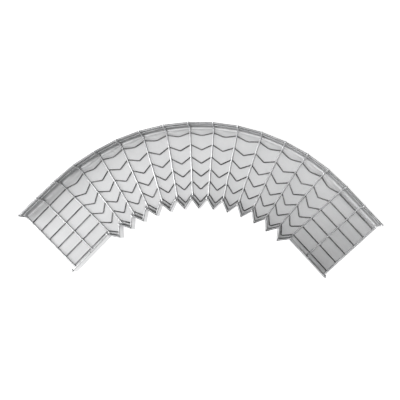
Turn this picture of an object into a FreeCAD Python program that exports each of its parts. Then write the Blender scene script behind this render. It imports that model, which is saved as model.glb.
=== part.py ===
"""Curved open channel of welded wire mesh lined with bright sheet.

Ribs are U-shaped wires. Ten long wires run across them: six on the floor, two up each side.
In the turning bays every long wire keeps its length and is crimped towards the bend's centre,
so the outermost wires stay straight from rib to rib and the inner side folds into deep pleats.
Three sheets line the mesh from outside: floor, outer side and pleated inner side.

Millimetres, +Z up. The origin is under the middle of the bounding box, on the underside.
"""
import FreeCAD, Part
import math
import os

Vector = FreeCAD.Vector

# ---- driving dimensions ----
rib_pitch = 100.0          # length of a long wire from one rib to the next
cell_width = 50.0          # from one floor wire to the next
floor_cells = 5            # cells across the floor
turning_bays = 13          # crimped bays in the bend
straight_bays = 2          # bays before and after the bend
bay_turn = 7.165           # degrees turned in each crimped bay
wall_height = 105.0        # underside of the sheet to the top of the rim wires
side_gap = 25.5            # outermost floor wire to the centre of the outer side wires
side_wire_drop = 50.0      # rim wire down to the side wire under it
long_wire_d = 5.0          # floor, side and rim wires
rib_wire_d = 6.0           # U-shaped wires
weld_sink = 0.3            # how far crossing wires melt into each other
sheet_t = 1.2              # lining sheet
corner_radius = 18.0       # inner face of the lining, floor to side
crimp_radius = 6.0         # bends of the floor wires
outer_crimp_radius = 45.0  # softer bend of the outermost floor wire in mid-bay
pleat_radius = 4.0         # bends of the inner side wires
chord_radius = 20.0        # slight bends of the outer side wires at the ribs
sheet_overrun = 6.0        # sheets and side wires past the centre of the end ribs
hook_reach = 0.8           # rib ends past the outer face of the sheet
end_splay = 14.0           # the outer side stands this much further out at the first rib
splayed_ribs = 4           # ribs over which that dies away
no_turn = 1e-6             # radians; corners turning less than this stay straight

# ---- worked out from them ----
bays = turning_bays + 2 * straight_bays
last_rib = bays
half_turn = math.radians(bay_turn) / 2
long_r = long_wire_d / 2
rib_r = rib_wire_d / 2
stack = long_r + rib_r - weld_sink                 # between the centres of two crossed wires
half_floor = floor_cells * cell_width / 2
outer_wire_w = half_floor + side_gap               # outer side wires, from the centre line
straight_radius = rib_pitch / 2 / math.sin(half_turn)
centre_radius = straight_radius - outer_wire_w     # outer side wires need no crimp
lining_w = outer_wire_w + long_r                   # inner face of both side sheets
leg_w = outer_wire_w - stack                       # rib legs
floor_wire_z = sheet_t + long_r
rib_z = floor_wire_z + stack
rim_z = wall_height - long_r
side_z = rim_z - side_wire_drop
hook_z = rim_z + stack
hook_w = lining_w + sheet_t + hook_reach
rib_bend = corner_radius - (lining_w - leg_w)      # keeps the rib parallel to the lining
floor_wire_overrun = rib_r
inner_half_chord = (centre_radius - outer_wire_w) * math.sin(half_turn)
pleat_slant = math.acos(2 * inner_half_chord / rib_pitch) + half_turn  # to the straight run


def splay(rib):
    """How much further out the outer side stands at a rib."""
    return end_splay * max(0.0, 1 - rib / splayed_ribs)


def bend_station(rib):
    """Angle of a rib's plane from +Y towards -X, and its distance past the end of the bend."""
    nearest = min(max(rib, straight_bays), last_rib - straight_bays)
    angle = (last_rib / 2 - nearest) * 2 * half_turn
    return angle, (nearest - rib) * rib_pitch


def at_rib(rib, w, z, past=0.0):
    """Point in a rib's plane, w outward from the centre line, 'past' the rib along the channel."""
    angle, along = bend_station(rib)
    outward = Vector(-math.sin(angle), math.cos(angle), 0)
    forward = Vector(math.cos(angle), math.sin(angle), 0)
    return outward * (centre_radius + w) - forward * (along - past) + Vector(0, 0, z)


def at_fold(rib, w, z):
    """Point in the crimp's plane, halfway from a rib to the next, on a line of unchanged length."""
    angle = (last_rib / 2 - rib - 0.5) * 2 * half_turn
    outward = Vector(-math.sin(angle), math.cos(angle), 0)
    radius = centre_radius + w
    half_chord = radius * math.sin(half_turn)
    depth = math.sqrt(max(0.0, (rib_pitch / 2) ** 2 - half_chord ** 2))
    return outward * (radius * math.cos(half_turn) - depth) + Vector(0, 0, z)


def turns_after(rib):
    return straight_bays <= rib < last_rib - straight_bays


def crimps_beside(rib):
    """Two inside the bend, one where it begins or ends, none beyond."""
    return turns_after(rib - 1) + turns_after(rib)


# ---- wires ----
def rounded_path(points, radii):
    """Straight runs joined by tangent arcs, one radius for each inner point."""
    edges = []
    start = points[0]
    for before, corner, after, radius in zip(points, points[1:], points[2:], radii):
        into = (corner - before).normalize()
        out = (after - corner).normalize()
        turn = into.getAngle(out)
        if turn < no_turn:
            continue
        trim = radius * math.tan(turn / 2)
        inward = (out - into).normalize()
        arc_start = corner - into * trim
        arc_end = corner + out * trim
        middle = corner + inward * (radius / math.cos(turn / 2) - radius)
        edges.append(Part.LineSegment(start, arc_start).toShape())
        edges.append(Part.Arc(arc_start, middle, arc_end).toShape())
        start = arc_end
    edges.append(Part.LineSegment(start, points[-1]).toShape())
    return Part.Wire(edges)


def round_wire(points, radii, diameter):
    """Its section is two half circles, so that no face of the wire closes on itself."""
    path = rounded_path(points, radii)
    circle = Part.Circle(points[0], points[1] - points[0], diameter / 2)
    halves = [circle.toShape(0, math.pi), circle.toShape(math.pi, 2 * math.pi)]
    return path.makePipe(Part.Face(Part.Wire(halves)))


def long_wire(rib_w, fold_w, z, overrun, rib_radius, fold_radius):
    """A wire along the whole channel; rib_w gives its place at each rib."""
    points = [at_rib(0, rib_w(0), z, -overrun)]
    radii = []
    for rib in range(last_rib):
        if rib > 0:
            points.append(at_rib(rib, rib_w(rib), z))
            radii.append(rib_radius)
        if turns_after(rib) and fold_w is not None:
            points.append(at_fold(rib, fold_w, z))
            radii.append(fold_radius)
    points.append(at_rib(last_rib, rib_w(last_rib), z, overrun))
    return round_wire(points, radii, long_wire_d)


def floor_wire(number):
    """Floor wires are numbered from the outer side of the bend."""
    w = half_floor - (number - 1) * cell_width
    fold_radius = outer_crimp_radius if number == 1 else crimp_radius
    return long_wire(lambda rib: w, w, floor_wire_z, floor_wire_overrun, crimp_radius, fold_radius)


def outer_wire(z):
    return long_wire(lambda rib: outer_wire_w + splay(rib), None, z, sheet_overrun, chord_radius, 0)


def bend_cut(turn):
    """How far a pleat's round bend stays short of its corner."""
    return pleat_radius * (1 / math.cos(turn / 2) - 1)


def inner_corner_w(rib):
    """Inner side wires keep clear of the pleats, so only their round bends touch the sheet."""
    return -outer_wire_w + (bend_cut(2 * pleat_slant) if crimps_beside(rib) else 0.0)


def inner_wire(z):
    fold_w = inner_corner_w(straight_bays)
    return long_wire(inner_corner_w, fold_w, z, sheet_overrun, pleat_radius, pleat_radius)


def inner_leg_w(rib):
    """The leg meets the round bend of the inner side wires."""
    return inner_corner_w(rib) - bend_cut(crimps_beside(rib) * pleat_slant) + stack


def rib_wire(rib):
    """U-shaped wire whose ends hook outwards over the rim wires."""
    outer = splay(rib)
    inner = inner_leg_w(rib)
    profile = [(hook_w + outer, hook_z), (leg_w + outer, hook_z), (leg_w + outer, rib_z),
               (inner, rib_z), (inner, hook_z), (-hook_w, hook_z)]
    points = [at_rib(rib, w, z) for w, z in profile]
    return round_wire(points, [stack, rib_bend, rib_bend, stack], rib_wire_d)


# ---- sheets ----
def line(a, b):
    return Part.LineSegment(a, b).toShape()


def quarter(a, corner, b):
    """Quarter of an ellipse from a to b that leaves towards the corner."""
    curve = Part.BezierCurve()
    curve.setPoles([a, corner, b])
    curve.setWeight(2, math.cos(math.pi / 4))
    return curve.toShape()


def side_section(place, side, outer):
    """Closed outline of a side sheet in one plane. side is 1 outside the bend and -1 inside."""
    seam = side * half_floor
    foot = side * (lining_w - corner_radius + outer)
    face = side * (lining_w + outer)
    back = side * (lining_w + sheet_t + outer)
    bend_top = sheet_t + corner_radius
    top = wall_height - weld_sink
    return Part.Wire([
        line(place(seam, sheet_t), place(foot, sheet_t)),
        quarter(place(foot, sheet_t), place(face, sheet_t), place(face, bend_top)),
        line(place(face, bend_top), place(face, top)),
        line(place(face, top), place(back, top)),
        line(place(back, top), place(back, bend_top)),
        quarter(place(back, bend_top), place(back, 0), place(foot, 0)),
        line(place(foot, 0), place(seam, 0)),
        line(place(seam, 0), place(seam, sheet_t))])


def along_channel(section):
    """Ruled solid through the outline at both ends, at each rib and in each crimp."""
    sections = [section(lambda w, z: at_rib(0, w, z, -sheet_overrun), 0)]
    for rib in range(last_rib):
        if rib > 0:
            sections.append(section(lambda w, z: at_rib(rib, w, z), rib))
        if turns_after(rib):
            sections.append(section(lambda w, z: at_fold(rib, w, z), rib + 0.5))
    sections.append(section(lambda w, z: at_rib(last_rib, w, z, sheet_overrun), last_rib))
    return Part.makeLoft(sections, True, True)


def lengthwise(w):
    """Points of a crimped line from one end of the sheets to the other, on the floor."""
    points = [at_rib(0, w, 0, -sheet_overrun)]
    for rib in range(last_rib):
        if rib > 0:
            points.append(at_rib(rib, w, 0))
        if turns_after(rib):
            points.append(at_fold(rib, w, 0))
    points.append(at_rib(last_rib, w, 0, sheet_overrun))
    return points


def floor_sheet():
    """Flat plate, cut along both sides to meet the side sheets."""
    outline = lengthwise(half_floor) + lengthwise(-half_floor)[::-1]
    return Part.Face(Part.makePolygon(outline + outline[:1])).extrude(Vector(0, 0, sheet_t))


def outer_side_sheet():
    return along_channel(lambda place, rib: side_section(place, 1, splay(rib)))


def inner_side_sheet():
    return along_channel(lambda place, rib: side_section(place, -1, 0.0))


# ---- the assembly ----
def assembly():
    parts = {"floor_sheet": floor_sheet(),
             "outer_side_sheet": outer_side_sheet(),
             "inner_side_sheet": inner_side_sheet(),
             "outer_rim_wire": outer_wire(rim_z),
             "outer_side_wire": outer_wire(side_z),
             "inner_rim_wire": inner_wire(rim_z),
             "inner_side_wire": inner_wire(side_z)}
    for number in range(1, floor_cells + 2):
        parts["floor_wire_%d" % number] = floor_wire(number)
    for rib in range(bays + 1):
        parts["rib_wire_%02d" % (rib + 1)] = rib_wire(rib)
    return parts


def middle_of(parts):
    box = Part.makeCompound(list(parts.values())).optimalBoundingBox()
    return Vector(box.Center.x, box.Center.y, 0)


def main():
    os.makedirs("parts", exist_ok=True)
    parts = assembly()
    origin = middle_of(parts)
    for name, shape in parts.items():
        shape.translate(-origin)
        shape.exportStep("parts/%s.step" % name)
        print(name, "valid" if shape.isValid() else "NOT VALID", "solids", len(shape.Solids),
              "volume %.0f" % shape.Volume)
    print("origin taken from the bend's centre at", round(origin.x, 4), round(origin.y, 4))


main()
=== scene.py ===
import math

import bpy
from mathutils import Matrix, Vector


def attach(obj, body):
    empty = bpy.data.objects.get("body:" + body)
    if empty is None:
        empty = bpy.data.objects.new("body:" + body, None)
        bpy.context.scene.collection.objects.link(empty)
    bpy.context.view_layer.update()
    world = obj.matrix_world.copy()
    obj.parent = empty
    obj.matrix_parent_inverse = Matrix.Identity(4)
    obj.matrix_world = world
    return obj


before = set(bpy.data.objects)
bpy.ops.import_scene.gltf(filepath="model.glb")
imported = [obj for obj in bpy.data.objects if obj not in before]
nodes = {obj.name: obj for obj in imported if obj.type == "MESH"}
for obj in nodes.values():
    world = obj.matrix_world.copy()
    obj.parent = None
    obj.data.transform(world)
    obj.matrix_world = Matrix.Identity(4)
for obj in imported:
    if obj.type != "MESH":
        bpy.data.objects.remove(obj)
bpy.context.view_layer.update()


# ---- the lining: bright sheet on the floor and up both sides ----
# Three thin sheets of cold-rolled steel, bright and only lightly handled. Rolling leaves a fine
# grain along the channel, and the thin sheet is never quite flat, so its shine wanders.
bend_centre = (0.00508, -0.49715, 0.0)   # middle of the bend, from the frame's origin

grain = bpy.data.node_groups.new("rolled grain", "ShaderNodeTree")
grain.interface.new_socket("Vector", in_out="INPUT", socket_type="NodeSocketVector")
grain.interface.new_socket("Fineness", in_out="INPUT", socket_type="NodeSocketFloat")
grain.interface.new_socket("Grain", in_out="OUTPUT", socket_type="NodeSocketFloat")
grain.interface.new_socket("Cloud", in_out="OUTPUT", socket_type="NodeSocketFloat")
grain_in = grain.nodes.new("NodeGroupInput")
grain_out = grain.nodes.new("NodeGroupOutput")
split = grain.nodes.new("ShaderNodeSeparateXYZ")
grain.links.new(grain_in.outputs["Vector"], split.inputs[0])
angle = grain.nodes.new("ShaderNodeMath")
angle.operation = "ARCTAN2"
grain.links.new(split.outputs["X"], angle.inputs[0])
grain.links.new(split.outputs["Y"], angle.inputs[1])
flat = grain.nodes.new("ShaderNodeVectorMath")
flat.operation = "MULTIPLY"
flat.inputs[1].default_value = (1, 1, 0)
grain.links.new(grain_in.outputs["Vector"], flat.inputs[0])
radius = grain.nodes.new("ShaderNodeVectorMath")
radius.operation = "LENGTH"
grain.links.new(flat.outputs["Vector"], radius.inputs[0])
around = grain.nodes.new("ShaderNodeCombineXYZ")
grain.links.new(angle.outputs[0], around.inputs["X"])
grain.links.new(radius.outputs["Value"], around.inputs["Y"])
grain.links.new(split.outputs["Z"], around.inputs["Z"])
stretch = grain.nodes.new("ShaderNodeMapping")
stretch.inputs["Scale"].default_value = (0.04, 1, 1)
grain.links.new(around.outputs[0], stretch.inputs["Vector"])
lines = grain.nodes.new("ShaderNodeTexNoise")
lines.inputs["Detail"].default_value = 5
grain.links.new(stretch.outputs["Vector"], lines.inputs["Vector"])
grain.links.new(grain_in.outputs["Fineness"], lines.inputs["Scale"])
grain.links.new(lines.outputs["Fac"], grain_out.inputs["Grain"])
cloud = grain.nodes.new("ShaderNodeTexNoise")
cloud.inputs["Scale"].default_value = 7
cloud.inputs["Detail"].default_value = 3
grain.links.new(grain_in.outputs["Vector"], cloud.inputs["Vector"])
grain.links.new(cloud.outputs["Fac"], grain_out.inputs["Cloud"])

scuffs = bpy.data.node_groups.new("handling scuffs", "ShaderNodeTree")
scuffs.interface.new_socket("Vector", in_out="INPUT", socket_type="NodeSocketVector")
scuffs.interface.new_socket("Spacing", in_out="INPUT", socket_type="NodeSocketFloat")
scuffs.interface.new_socket("Scuff", in_out="OUTPUT", socket_type="NodeSocketFloat")
scuffs_in = scuffs.nodes.new("NodeGroupInput")
scuffs_out = scuffs.nodes.new("NodeGroupOutput")
drift = scuffs.nodes.new("ShaderNodeTexNoise")
drift.inputs["Scale"].default_value = 9
scuffs.links.new(scuffs_in.outputs["Vector"], drift.inputs["Vector"])
bent = scuffs.nodes.new("ShaderNodeVectorMath")
bent.operation = "MULTIPLY_ADD"
bent.inputs[1].default_value = (0.06, 0.06, 0.06)
scuffs.links.new(drift.outputs["Color"], bent.inputs[0])
scuffs.links.new(scuffs_in.outputs["Vector"], bent.inputs[2])
cracks = scuffs.nodes.new("ShaderNodeTexVoronoi")
cracks.feature = "DISTANCE_TO_EDGE"
scuffs.links.new(bent.outputs["Vector"], cracks.inputs["Vector"])
scuffs.links.new(scuffs_in.outputs["Spacing"], cracks.inputs["Scale"])
thin = scuffs.nodes.new("ShaderNodeMapRange")
thin.inputs["From Max"].default_value = 0.008
thin.inputs["To Min"].default_value = 0.45
thin.inputs["To Max"].default_value = 0
scuffs.links.new(cracks.outputs["Distance"], thin.inputs["Value"])
patch = scuffs.nodes.new("ShaderNodeTexNoise")
patch.inputs["Scale"].default_value = 30
patch.inputs["Detail"].default_value = 4
scuffs.links.new(scuffs_in.outputs["Vector"], patch.inputs["Vector"])
here = scuffs.nodes.new("ShaderNodeMapRange")
here.inputs["From Min"].default_value = 0.52
here.inputs["From Max"].default_value = 0.62
scuffs.links.new(patch.outputs["Fac"], here.inputs["Value"])
broken = scuffs.nodes.new("ShaderNodeMath")
broken.operation = "MULTIPLY"
scuffs.links.new(thin.outputs["Result"], broken.inputs[0])
scuffs.links.new(here.outputs["Result"], broken.inputs[1])
scuffs.links.new(broken.outputs[0], scuffs_out.inputs["Scuff"])

bright_sheet = bpy.data.materials.new("bright_sheet")
bright_sheet.use_nodes = True
tree = bright_sheet.node_tree
skin = tree.nodes["Principled BSDF"]
skin.inputs["Metallic"].default_value = 0.65
where = tree.nodes.new("ShaderNodeTexCoord")
centre = tree.nodes.new("ShaderNodeMapping")
centre.inputs["Location"].default_value = [-c for c in bend_centre]
tree.links.new(where.outputs["Object"], centre.inputs["Vector"])
rolled = tree.nodes.new("ShaderNodeGroup")
rolled.node_tree = grain
rolled.inputs["Fineness"].default_value = 800
tree.links.new(centre.outputs["Vector"], rolled.inputs["Vector"])
tone = tree.nodes.new("ShaderNodeValToRGB")
tone.color_ramp.elements[0].position = 0.3
tone.color_ramp.elements[0].color = (0.61, 0.615, 0.62, 1)
tone.color_ramp.elements[1].position = 0.7
tone.color_ramp.elements[1].color = (0.69, 0.69, 0.695, 1)
blend = tree.nodes.new("ShaderNodeMath")
blend.operation = "MULTIPLY_ADD"
blend.inputs[1].default_value = 0.35
tree.links.new(rolled.outputs["Grain"], blend.inputs[0])
cloudy = tree.nodes.new("ShaderNodeMath")
cloudy.operation = "MULTIPLY"
cloudy.inputs[1].default_value = 0.65
tree.links.new(rolled.outputs["Cloud"], cloudy.inputs[0])
tree.links.new(cloudy.outputs[0], blend.inputs[2])
tree.links.new(blend.outputs[0], tone.inputs["Fac"])
scuffed = tree.nodes.new("ShaderNodeGroup")
scuffed.node_tree = scuffs
scuffed.inputs["Spacing"].default_value = 26
tree.links.new(where.outputs["Object"], scuffed.inputs["Vector"])
marked = tree.nodes.new("ShaderNodeMixRGB")
marked.inputs["Color2"].default_value = (0.42, 0.42, 0.43, 1)
tree.links.new(scuffed.outputs["Scuff"], marked.inputs["Fac"])
tree.links.new(tone.outputs["Color"], marked.inputs["Color1"])
tree.links.new(marked.outputs["Color"], skin.inputs["Base Color"])
sheen = tree.nodes.new("ShaderNodeMapRange")
sheen.inputs["To Min"].default_value = 0.28
sheen.inputs["To Max"].default_value = 0.44
tree.links.new(rolled.outputs["Grain"], sheen.inputs["Value"])
tree.links.new(sheen.outputs["Result"], skin.inputs["Roughness"])
grained = tree.nodes.new("ShaderNodeBump")
grained.inputs["Strength"].default_value = 0.06
grained.inputs["Distance"].default_value = 0.0005
tree.links.new(rolled.outputs["Grain"], grained.inputs["Height"])
dent = tree.nodes.new("ShaderNodeBump")
dent.inputs["Strength"].default_value = 0.06
dent.inputs["Distance"].default_value = 0.004
tree.links.new(rolled.outputs["Cloud"], dent.inputs["Height"])
tree.links.new(grained.outputs["Normal"], dent.inputs["Normal"])
tree.links.new(dent.outputs["Normal"], skin.inputs["Normal"])


def wear(piece, metal):
    """Put one metal on a whole piece."""
    for slot in piece.material_slots:
        slot.material = metal


for name in ("floor_sheet", "outer_side_sheet", "inner_side_sheet"):
    wear(nodes[name], bright_sheet)


# ---- the six floor wires ----
# Drawn 5 mm steel wire with fine die lines, lighter in random rubbed patches. Its base is a dark
# grey, painted shade that stands in for the shade and dark reflections along the floor wires.
# Each is one length, crimped cold, and laid on the lining.
def wire_metal(name, dull, bright, dullest, smoothest):
    """Metal of a drawn wire: its two tones, and its roughness where dull and where rubbed."""
    metal = bpy.data.materials.new(name)
    metal.use_nodes = True
    tree = metal.node_tree
    skin = tree.nodes["Principled BSDF"]
    skin.inputs["Metallic"].default_value = 1.0
    where = tree.nodes.new("ShaderNodeTexCoord")
    rubbed = tree.nodes.new("ShaderNodeTexNoise")
    rubbed.inputs["Scale"].default_value = 24
    rubbed.inputs["Detail"].default_value = 8
    tree.links.new(where.outputs["Object"], rubbed.inputs["Vector"])
    tone = tree.nodes.new("ShaderNodeValToRGB")
    tone.color_ramp.elements[0].position = 0.35
    tone.color_ramp.elements[0].color = (dull, dull * 1.01, dull * 1.02, 1)
    tone.color_ramp.elements[1].position = 0.68
    tone.color_ramp.elements[1].color = (bright, bright, bright * 1.01, 1)
    tree.links.new(rubbed.outputs["Fac"], tone.inputs["Fac"])
    scuffed = tree.nodes.new("ShaderNodeGroup")
    scuffed.node_tree = scuffs
    scuffed.inputs["Spacing"].default_value = 90
    tree.links.new(where.outputs["Object"], scuffed.inputs["Vector"])
    marked = tree.nodes.new("ShaderNodeMixRGB")
    marked.inputs["Color2"].default_value = (0.3, 0.3, 0.31, 1)
    tree.links.new(scuffed.outputs["Scuff"], marked.inputs["Fac"])
    tree.links.new(tone.outputs["Color"], marked.inputs["Color1"])
    tree.links.new(marked.outputs["Color"], skin.inputs["Base Color"])
    sheen = tree.nodes.new("ShaderNodeMapRange")
    sheen.inputs["To Min"].default_value = dullest
    sheen.inputs["To Max"].default_value = smoothest
    tree.links.new(rubbed.outputs["Fac"], sheen.inputs["Value"])
    tree.links.new(sheen.outputs["Result"], skin.inputs["Roughness"])
    die_lines = tree.nodes.new("ShaderNodeTexNoise")
    die_lines.inputs["Scale"].default_value = 900
    die_lines.inputs["Detail"].default_value = 2
    tree.links.new(where.outputs["Object"], die_lines.inputs["Vector"])
    scored = tree.nodes.new("ShaderNodeBump")
    scored.inputs["Strength"].default_value = 0.12
    scored.inputs["Distance"].default_value = 0.0002
    tree.links.new(die_lines.outputs["Fac"], scored.inputs["Height"])
    tree.links.new(scored.outputs["Normal"], skin.inputs["Normal"])
    return metal


# painted shade: the floor wires' dark grey base stands in for the shade along them
painted_shade_wire = wire_metal("painted_shade_wire", 0.13, 0.28, 0.24, 0.13)
for name, node in nodes.items():
    if name.startswith("floor_wire"):
        wear(node, painted_shade_wire)


# ---- the side wires: two up each side ----
# The same wire, its base painted lighter than the floor wires: painted light that brightens the
# bands along both sides. The outer pair is only bent a little at each rib, the inner pair is
# folded into the pleats.
painted_light_side_wire = wire_metal("painted_light_side_wire", 0.52, 0.76, 0.36, 0.22)
for name in ("outer_rim_wire", "outer_side_wire", "inner_rim_wire", "inner_side_wire"):
    wear(nodes[name], painted_light_side_wire)


# ---- the ribs: U-shaped wires across the channel ----
# 6 mm wire, its base painted near white as painted light for the lit flanks of the ribs, bent to
# the channel's section with both ends hooked out over the rims. They lie on the floor wires and
# are welded to every long wire that they cross.
bright_wire = wire_metal("bright_wire", 0.82, 0.95, 0.5, 0.36)
for name, node in nodes.items():
    if name.startswith("rib_wire"):
        wear(node, bright_wire)


# ---- the spot welds ----
# Where a rib presses on a long wire the two melt together, and a collar of darker, blued
# metal squeezes out round the joint. There are twelve on each rib.
bay_turn = 7.165                        # degrees that one bay of the bend turns
half_turn = math.radians(bay_turn) / 2
pitch = 0.100                           # between ribs, along the outer side
turning = range(2, 15)                  # bays that turn; two at each end are straight
last = 17                               # ribs are counted from 0
side_w = 0.1505                         # side wires, from the centre line
centre_r = pitch / 2 / math.sin(half_turn) - side_w
floor_ws = [0.125 - 0.05 * n for n in range(6)]
floor_z = 0.00605                       # where the ribs touch the floor wires
side_zs = (0.0525, 0.1025)
touch_w = 0.14815                       # where a rib's outer leg touches the side wires
inner_touch = 0.00235                   # and its inner leg, from their centre
hook_z = 0.1051                         # where its hooks lie on the rim wires
pleat_bend = 0.004                      # radius of a bend in the pleats
left_splay = 0.014                      # how far the outer side stands out at the left end
splayed_ribs = 4                        # ribs over which that dies away
slant = math.acos((centre_r - side_w) * math.sin(half_turn) * 2 / pitch) + half_turn


def corner_cut(turn):
    """How far a bend in the pleats stays short of its corner."""
    return pleat_bend * (1 / math.cos(turn / 2) - 1)


def inner_wire_w(rib):
    """Where the inner side wires cross a rib, from the centre line."""
    crimps = (rib - 1 in turning) + (rib in turning)
    return -side_w + (corner_cut(2 * slant) if crimps else 0) - corner_cut(crimps * slant)


def on_rib(rib, w, z):
    """A place on one rib, w out from the centre line and z up, and how far the rib is turned."""
    nearest = min(max(rib, turning[0]), turning[-1] + 1)
    turn = (last / 2 - nearest) * 2 * half_turn
    out = Vector((-math.sin(turn), math.cos(turn), 0))
    forward = Vector((math.cos(turn), math.sin(turn), 0))
    along = (nearest - rib) * pitch
    place = Vector(bend_centre) + out * (centre_r + w) - forward * along + Vector((0, 0, z))
    return place, turn


bead_radius = 0.0041
bead_height = 0.36                      # of its width
lobe_depth = 0.14                       # how far its four lobes stand out and dip, of its radius
bpy.ops.object.select_all(action="DESELECT")
bpy.ops.mesh.primitive_uv_sphere_add(segments=12, ring_count=7, radius=bead_radius)
bead = bpy.context.object
bpy.ops.object.mode_set(mode="EDIT")
bpy.ops.mesh.select_all(action="SELECT")
bpy.ops.transform.resize(value=(1, 1, bead_height))
bpy.ops.object.mode_set(mode="OBJECT")
for corner in bead.data.vertices:
    reach = 1 - lobe_depth * math.cos(4 * math.atan2(corner.co.y, corner.co.x))
    corner.co.x *= reach
    corner.co.y *= reach
bpy.ops.object.shade_smooth()

beads = []
for rib in range(last + 1):
    splay = left_splay * max(0, 1 - rib / splayed_ribs)
    spots = [(w, floor_z, 0) for w in floor_ws]
    spots += [(touch_w + splay, z, 1) for z in side_zs]
    spots += [(inner_wire_w(rib) + inner_touch, z, 1) for z in side_zs]
    spots += [(side_w + splay, hook_z, 0), (inner_wire_w(rib), hook_z, 0)]
    for w, z, upright in spots:
        place, turn = on_rib(rib, w, z)
        bpy.ops.object.select_all(action="DESELECT")
        bead.select_set(True)
        bpy.context.view_layer.objects.active = bead
        bpy.ops.object.duplicate()
        weld = bpy.context.object
        weld.rotation_euler = (math.pi / 2 * upright, 0, turn)
        weld.location = place
        beads.append(weld)
bpy.data.objects.remove(bead)
bpy.ops.object.select_all(action="DESELECT")
for weld in beads:
    weld.select_set(True)
bpy.context.view_layer.objects.active = beads[0]
bpy.ops.object.join()
welds = bpy.context.object
welds.name = "spot_welds"
bpy.ops.object.transform_apply(location=True, rotation=True, scale=True)
blued = bpy.data.materials.new("blued_weld")
blued.use_nodes = True
tree = blued.node_tree
skin = tree.nodes["Principled BSDF"]
skin.inputs["Metallic"].default_value = 1.0
where = tree.nodes.new("ShaderNodeTexCoord")
heat = tree.nodes.new("ShaderNodeTexNoise")
heat.inputs["Scale"].default_value = 260
heat.inputs["Detail"].default_value = 4
tree.links.new(where.outputs["Object"], heat.inputs["Vector"])
tint = tree.nodes.new("ShaderNodeValToRGB")
tint.color_ramp.elements[0].position = 0.35
tint.color_ramp.elements[0].color = (0.09, 0.09, 0.10, 1)
tint.color_ramp.elements[1].position = 0.7
tint.color_ramp.elements[1].color = (0.26, 0.25, 0.24, 1)
tree.links.new(heat.outputs["Fac"], tint.inputs["Fac"])
tree.links.new(tint.outputs["Color"], skin.inputs["Base Color"])
crust = tree.nodes.new("ShaderNodeMapRange")
crust.inputs["To Min"].default_value = 0.35
crust.inputs["To Max"].default_value = 0.7
tree.links.new(heat.outputs["Fac"], crust.inputs["Value"])
tree.links.new(crust.outputs["Result"], skin.inputs["Roughness"])
pitted = tree.nodes.new("ShaderNodeBump")
pitted.inputs["Strength"].default_value = 0.4
pitted.inputs["Distance"].default_value = 0.0005
tree.links.new(heat.outputs["Fac"], pitted.inputs["Height"])
tree.links.new(pitted.outputs["Normal"], skin.inputs["Normal"])
welds.data.materials.clear()
welds.data.materials.append(blued)
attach(welds, "root")


# ---- the floor it lies on ----
# A plain white studio table, lit from beneath as well, so that it takes no shadow.
table_size = 14
table_gap = 0.0005                      # left under the channel
bpy.ops.object.select_all(action="DESELECT")
bpy.ops.mesh.primitive_plane_add(size=table_size, location=(0, 0, -table_gap))
table = bpy.context.object
table.name = "studio_table"
pale = bpy.data.materials.new("pale_table")
pale.use_nodes = True
skin = pale.node_tree.nodes["Principled BSDF"]
skin.inputs["Base Color"].default_value = (0.5, 0.5, 0.5, 1)
skin.inputs["Roughness"].default_value = 0.9
skin.inputs["Emission Color"].default_value = (1, 1, 1, 1)
skin.inputs["Emission Strength"].default_value = 0.86
table.data.materials.append(pale)


# ---- the light ----
# Two soft panels overhead, the smaller one to the right, one in front and a strong one low on
# the left, in a room that is pale near the floor and dark above.
room = bpy.data.worlds.new("studio")
bpy.context.scene.world = room
room.use_nodes = True
tree = room.node_tree
where = tree.nodes.new("ShaderNodeTexCoord")
split = tree.nodes.new("ShaderNodeSeparateXYZ")
tree.links.new(where.outputs["Generated"], split.inputs[0])
height = tree.nodes.new("ShaderNodeValToRGB")
height.color_ramp.elements[0].position = 0
height.color_ramp.elements[0].color = (0.9, 0.9, 0.9, 1)
height.color_ramp.elements[1].position = 0.3
height.color_ramp.elements[1].color = (0.05, 0.05, 0.05, 1)
wall_foot = height.color_ramp.elements.new(0.04)
wall_foot.color = (0.35, 0.35, 0.35, 1)
tree.links.new(split.outputs["Z"], height.inputs["Fac"])
tree.links.new(height.outputs["Color"], tree.nodes["Background"].inputs["Color"])


def panel(name, place, aim, width, height, brightness):
    """Soft rectangular light. Its brightness is the same whatever its size."""
    light = bpy.data.lights.new(name, "AREA")
    light.shape = "RECTANGLE"
    light.size = width
    light.size_y = height
    light.energy = brightness * math.pi * width * height
    lamp = bpy.data.objects.new(name, light)
    bpy.context.scene.collection.objects.link(lamp)
    lamp.location = place
    lamp.rotation_euler = (Vector(aim) - Vector(place)).to_track_quat("-Z", "Y").to_euler()


panel("overhead", (-0.85, 0.25, 3.6), (-0.85, 0.25, 0), 2.8, 2.6, 1.55)
panel("right", (1.35, 0.75, 3.5), (1.35, 0.75, 0), 1.3, 1.6, 1.7)
panel("front", (-0.5, -2.3, 2.0), (-0.5, 0, 0), 2.8, 1.8, 1.9)
panel("left", (-2.5, 0.1, 1.35), (0, 0, 0), 2.4, 1.5, 4.8)


# ---- the camera ----
# Nearly straight above, a little towards the right and the inside of the bend.
camera = bpy.data.objects.new("camera", bpy.data.cameras.new("camera"))
bpy.context.scene.collection.objects.link(camera)
bpy.context.scene.camera = camera
camera.data.sensor_width = 36
camera.data.lens = 64.86
camera.location = (0.2054, -0.1469, 2.9595)
camera.rotation_euler = [math.radians(a) for a in (2.870, 3.858, 1.168)]
bpy.context.scene.view_settings.view_transform = "Standard"
